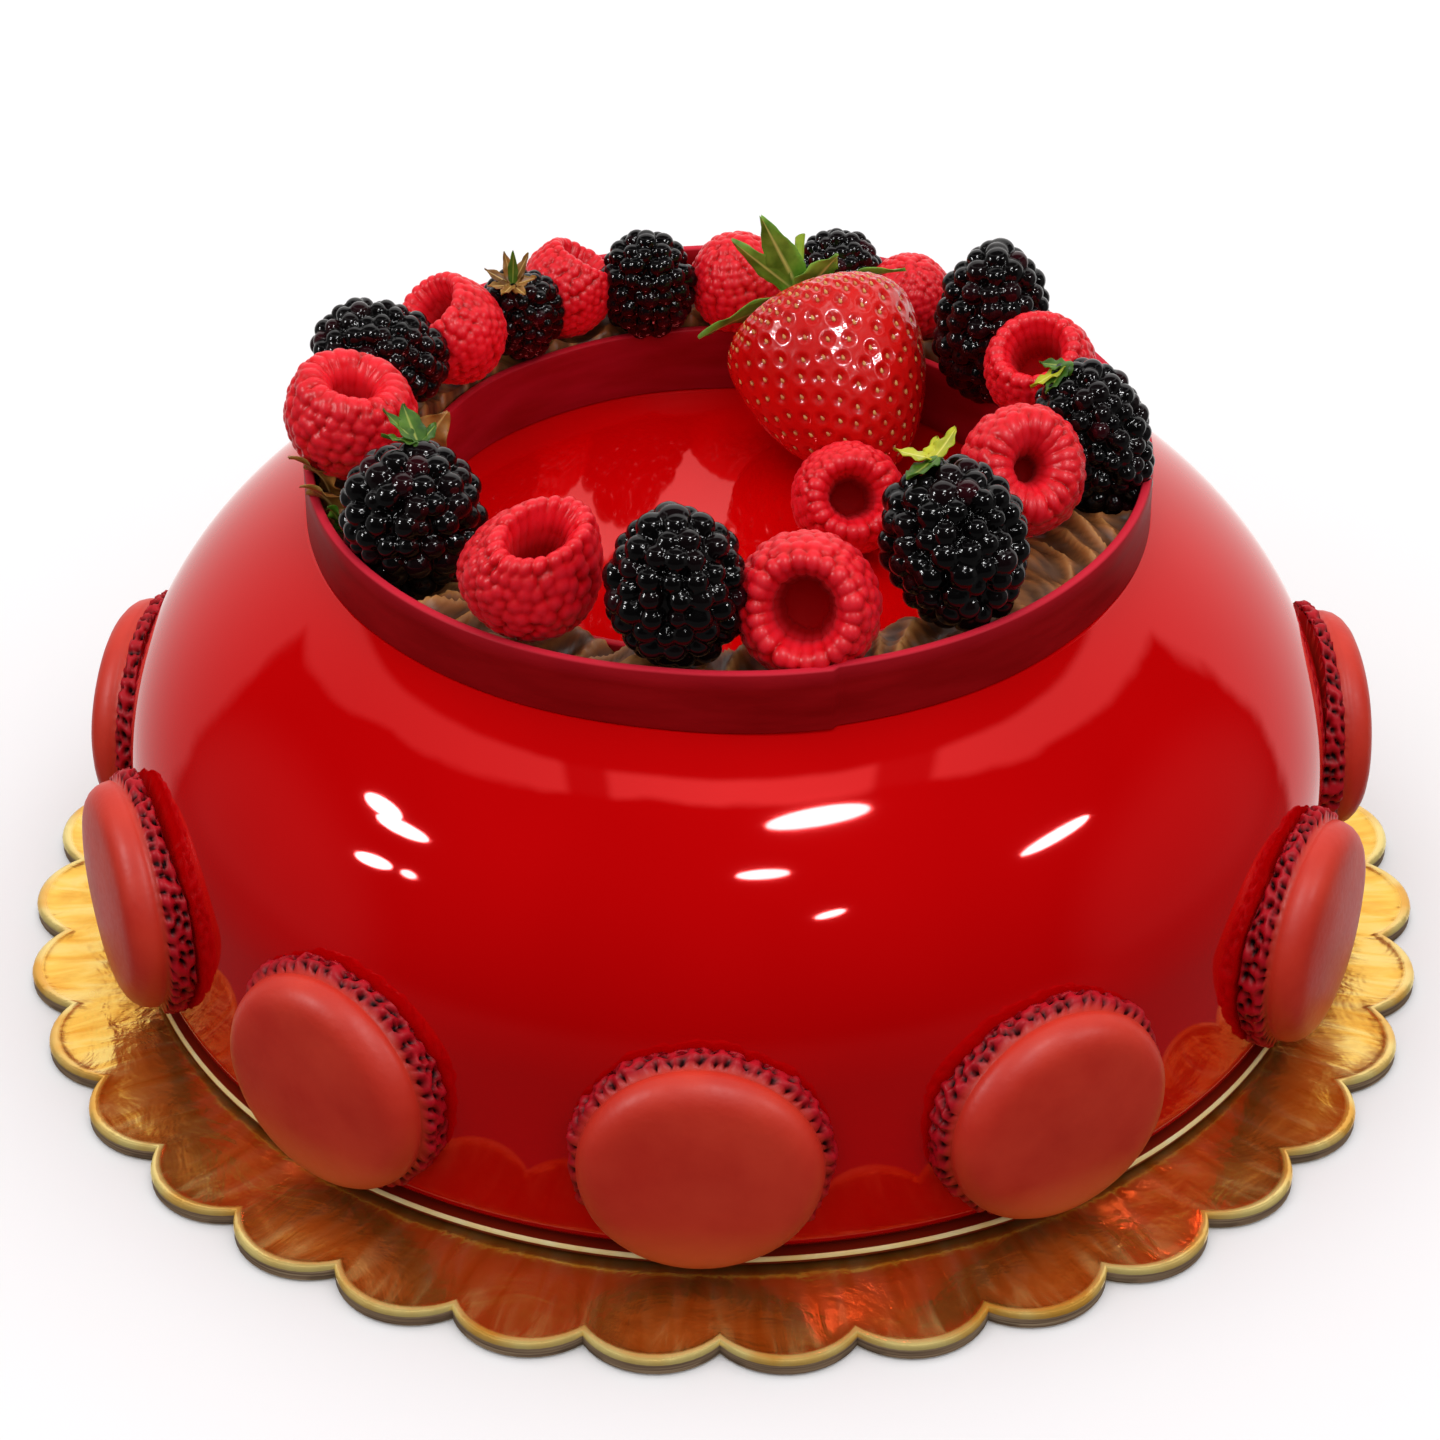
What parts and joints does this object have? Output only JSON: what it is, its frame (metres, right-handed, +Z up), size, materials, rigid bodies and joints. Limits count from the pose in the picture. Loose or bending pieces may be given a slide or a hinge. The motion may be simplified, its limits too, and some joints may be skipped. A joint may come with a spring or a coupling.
{
  "type": "glazed berry cake",
  "caption": "Round domed cake in mirror glaze, with macaron shells round its wall and berries in piped cream between two chocolate bands, on a scalloped gold board.",
  "frame": {"origin": "centre of the board's flat underside, where it rests", "axes": "+Z up through the cake, +Y to the back as pictured, +X to the right"},
  "size_m": [0.2396, 0.239, 0.1182],
  "materials": {
    "gold_foil": "crinkled gold foil on grey card, satin mirror",
    "red_glaze": "mirror-gloss gelatine glaze",
    "red_chocolate": "satin red chocolate",
    "cream": "soft satin piped chocolate cream",
    "raspberry_skin": "translucent drupelets with fine down",
    "bramble_skin": "glossy near-black drupelets",
    "strawberry_skin": "glossy skin with sunk pale seeds",
    "leaf": "soft green leaf, paler underneath",
    "macaron": "smooth matte shell with a ruffled foot"
  },
  "bodies": {
    "root": {"cake_board": "gold_foil", "cake_card": "gold_foil", "glazed_cake": "red_glaze", "outer_band": "red_chocolate", "inner_band": "red_chocolate", "piped_cream": "cream", "raspberry_1": "raspberry_skin", "raspberry_2": "raspberry_skin", "raspberry_3": "raspberry_skin", "raspberry_4": "raspberry_skin", "raspberry_5": "raspberry_skin", "raspberry_6": "raspberry_skin", "raspberry_7": "raspberry_skin", "raspberry_8": "raspberry_skin", "raspberry_9": "raspberry_skin", "raspberry_10": "raspberry_skin", "bramble_1": "bramble_skin", "bramble_2": "bramble_skin", "bramble_3": "bramble_skin", "bramble_4": "bramble_skin", "bramble_5": "bramble_skin", "bramble_6": "bramble_skin", "bramble_7": "bramble_skin", "bramble_8": "bramble_skin", "bramble_9": "bramble_skin", "strawberry": "strawberry_skin", "strawberry_hull": "leaf", "macaron_shell_1": "macaron", "macaron_shell_2": "macaron", "macaron_shell_3": "macaron", "macaron_shell_4": "macaron", "macaron_shell_5": "macaron", "macaron_shell_6": "macaron", "macaron_shell_7": "macaron", "macaron_shell_8": "macaron", "macaron_shell_9": "macaron", "macaron_shell_10": "macaron", "macaron_shell_11": "macaron"}
  },
  "joints": []
}
